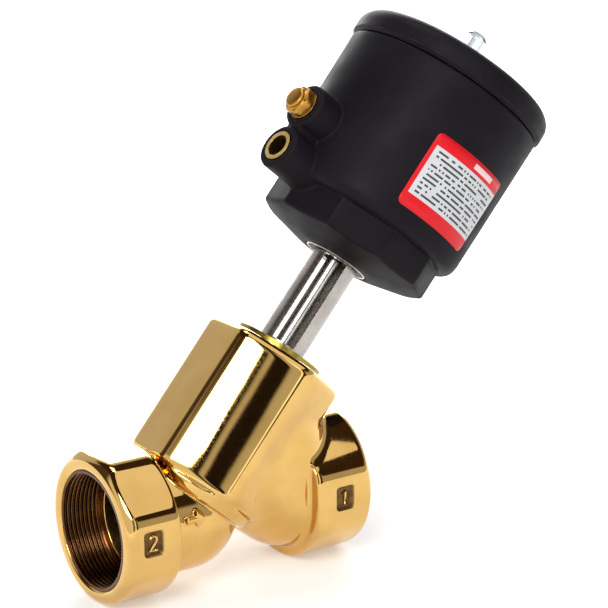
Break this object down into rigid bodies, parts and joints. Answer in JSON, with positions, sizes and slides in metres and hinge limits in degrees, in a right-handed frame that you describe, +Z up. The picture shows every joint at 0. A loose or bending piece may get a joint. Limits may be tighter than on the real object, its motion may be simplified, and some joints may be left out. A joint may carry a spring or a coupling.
{
  "type": "pneumatic actuated angle-seat valve",
  "caption": "Two-port angle-seat valve with a bronze body, a stainless yoke and a spring-return pneumatic piston actuator.",
  "frame": {"origin": "centre of the port 2 face", "axes": "+X along the pipe towards port 1, +Z up, the bonnet leaning towards port 1 in the XZ plane"},
  "size_m": [0.2596, 0.1108, 0.2731],
  "materials": {
    "polished_bronze": "mirror-polished cast bronze",
    "brass": "turned brass",
    "ptfe": "PTFE",
    "stainless": "turned stainless steel",
    "spring_steel": "drawn spring steel",
    "black_plastic": "glass-filled nylon",
    "grey_plastic": "moulded, filled nylon",
    "seal_rubber": "moulded nitrile",
    "yellow_plastic": "moulded indicator",
    "clear_plastic": "clear polycarbonate",
    "pale_rubber": "moulded gasket",
    "label_film": "printed label film"
  },
  "bodies": {
    "valve": {"valve_body": "polished_bronze", "stuffing_box": "brass", "body_gasket": "ptfe", "packing_spring": "spring_steel", "packing_rings": "ptfe", "gland_bush": "brass", "yoke": "stainless", "thrust_washer": "grey_plastic", "retaining_ring": "spring_steel", "stem_bush": "brass", "stem_seal": "seal_rubber"},
    "plug": {"stem": "stainless", "disc_holder": "stainless", "disc_seal": "ptfe", "disc_washer": "stainless", "disc_nut": "stainless", "piston": "grey_plastic", "piston_seal": "seal_rubber", "piston_washer": "stainless", "piston_nut": "stainless", "indicator_pin": "yellow_plastic"},
    "head": {"actuator_housing": "black_plastic", "housing_seal": "seal_rubber", "pilot_insert": "brass", "exhaust_insert": "brass", "exhaust_protector": "brass", "main_spring": "spring_steel", "lid": "black_plastic", "lid_seal": "seal_rubber", "indicator_dome": "clear_plastic", "dome_gasket": "pale_rubber", "rating_label": "label_film"}
  },
  "joints": [
    {"name": "head_swivel", "type": "hinge", "parent": "valve", "child": "head", "pos_m": [0.14913, 0, 0.11874], "axis": [0.6428, 0, 0.766], "continuous": true},
    {"name": "stem_slide", "type": "slide", "parent": "valve", "child": "plug", "axis": [0.6428, 0, 0.766], "range_m": [0, 0.016], "stiffness_N_per_m": 4000, "springref_m": -0.03, "deforming": ["main_spring"]}
  ]
}
